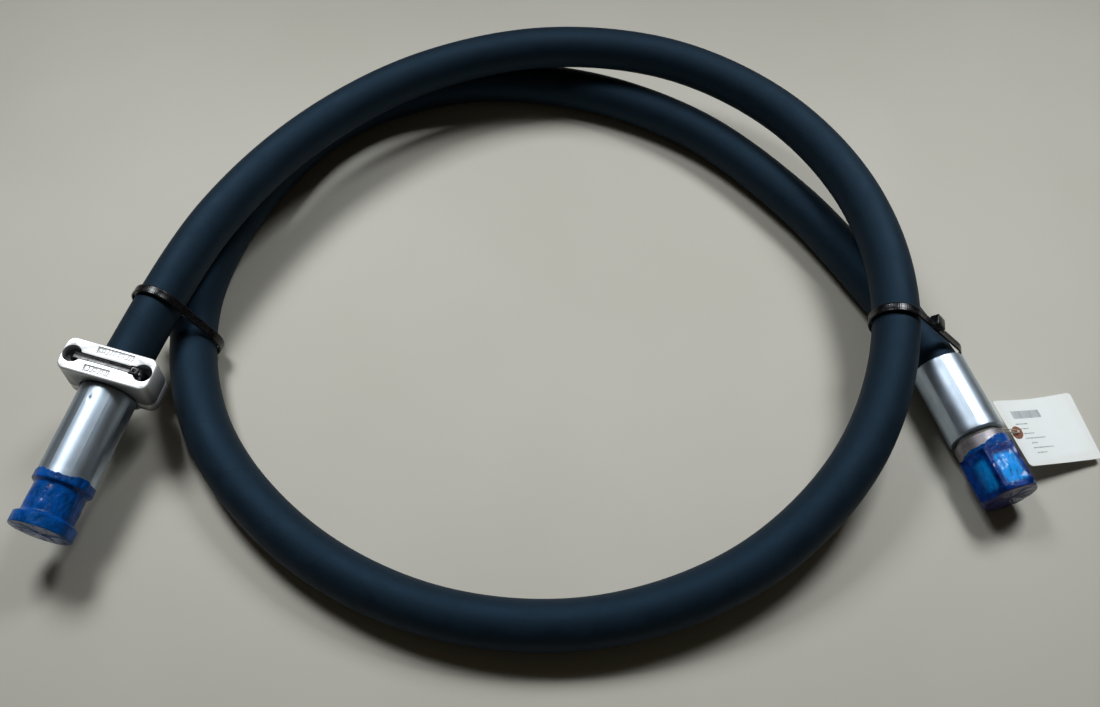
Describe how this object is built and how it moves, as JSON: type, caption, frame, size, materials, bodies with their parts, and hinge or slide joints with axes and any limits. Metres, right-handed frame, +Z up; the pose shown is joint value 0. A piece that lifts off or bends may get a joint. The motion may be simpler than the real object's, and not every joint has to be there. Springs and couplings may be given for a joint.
{
  "type": "hydraulic hose assembly",
  "caption": "Looped rubber hydraulic hose with a capped flange head on one end, a capped swivel nut on the other, a split clamp, cable ties and a blank hanging tag.",
  "frame": {"origin": "middle of the part's outline in plan, on the floor that the hose lies on", "axes": "+Z up from the floor, +X across the loop from the flange end's side to the swivel end's side, +Y from the two fittings towards the loop's far side"},
  "size_m": [0.839, 0.5964, 0.0865],
  "materials": {
    "cover_rubber": "matte wrapped synthetic rubber, blue-black",
    "tube_rubber": "smooth black nitrile rubber",
    "spring_steel": "drawn high-tensile wire",
    "plated_steel": "bright zinc-nickel plated steel",
    "cast_aluminium": "satin cast aluminium",
    "black_nylon": "moulded nylon, slightly glossy",
    "blue_film": "thin glossy shrunk film, translucent",
    "blue_plastic": "moulded polyethylene",
    "seal_rubber": "moulded nitrile seal",
    "tag_card": "coated white card",
    "eyelet_fibre": "pressed brown fibre",
    "cotton_string": "twisted cotton string"
  },
  "bodies": {
    "hose_and_fittings": {"hose_cover": "cover_rubber", "hose_wire_spirals": "spring_steel", "hose_inner_tube": "tube_rubber", "flange_end_ferrule": "plated_steel", "flange_end_insert": "plated_steel", "flange_end_o_ring": "seal_rubber", "flange_neck_film": "blue_film", "swivel_end_ferrule": "plated_steel", "swivel_end_insert": "plated_steel", "left_cable_tie": "black_nylon", "right_cable_tie": "black_nylon"},
    "clamp": {"clamp_upper_half": "cast_aluminium", "clamp_lower_half": "cast_aluminium", "clamp_cable_tie": "black_nylon"},
    "flange_protection": {"flange_end_cap": "blue_plastic", "flange_end_film": "blue_film"},
    "nut": {"swivel_nut": "plated_steel", "swivel_retaining_wire": "spring_steel", "swivel_collar_film": "blue_film"},
    "swivel_protection": {"swivel_end_plug": "blue_plastic", "swivel_end_film": "blue_film"},
    "tag": {"label_tag": "tag_card", "tag_eyelet": "eyelet_fibre", "tag_string": "cotton_string"}
  },
  "joints": [
    {"name": "clamp_turn", "type": "hinge", "parent": "hose_and_fittings", "child": "clamp", "pos_m": [-0.369, -0.109, 0.0505], "axis": [-0.2347, -0.9701, -0.0626], "range_deg": [-20, 90]},
    {"name": "flange_cap_slide", "type": "slide", "parent": "hose_and_fittings", "child": "flange_protection", "axis": [-0.2347, -0.9701, -0.0626], "range_m": [0, 0.06]},
    {"name": "nut_spin", "type": "hinge", "parent": "hose_and_fittings", "child": "nut", "pos_m": [0.298, -0.06, 0.0224], "axis": [0.2827, -0.9592, 0], "continuous": true},
    {"name": "swivel_plug_slide", "type": "slide", "parent": "nut", "child": "swivel_protection", "axis": [0.2827, -0.9592, 0], "range_m": [0, 0.06]},
    {"name": "tag_swing", "type": "hinge", "parent": "hose_and_fittings", "child": "tag", "pos_m": [0.31772, -0.1269, 0.0224], "axis": [0.2827, -0.9592, 0], "range_deg": [0, 100]}
  ]
}
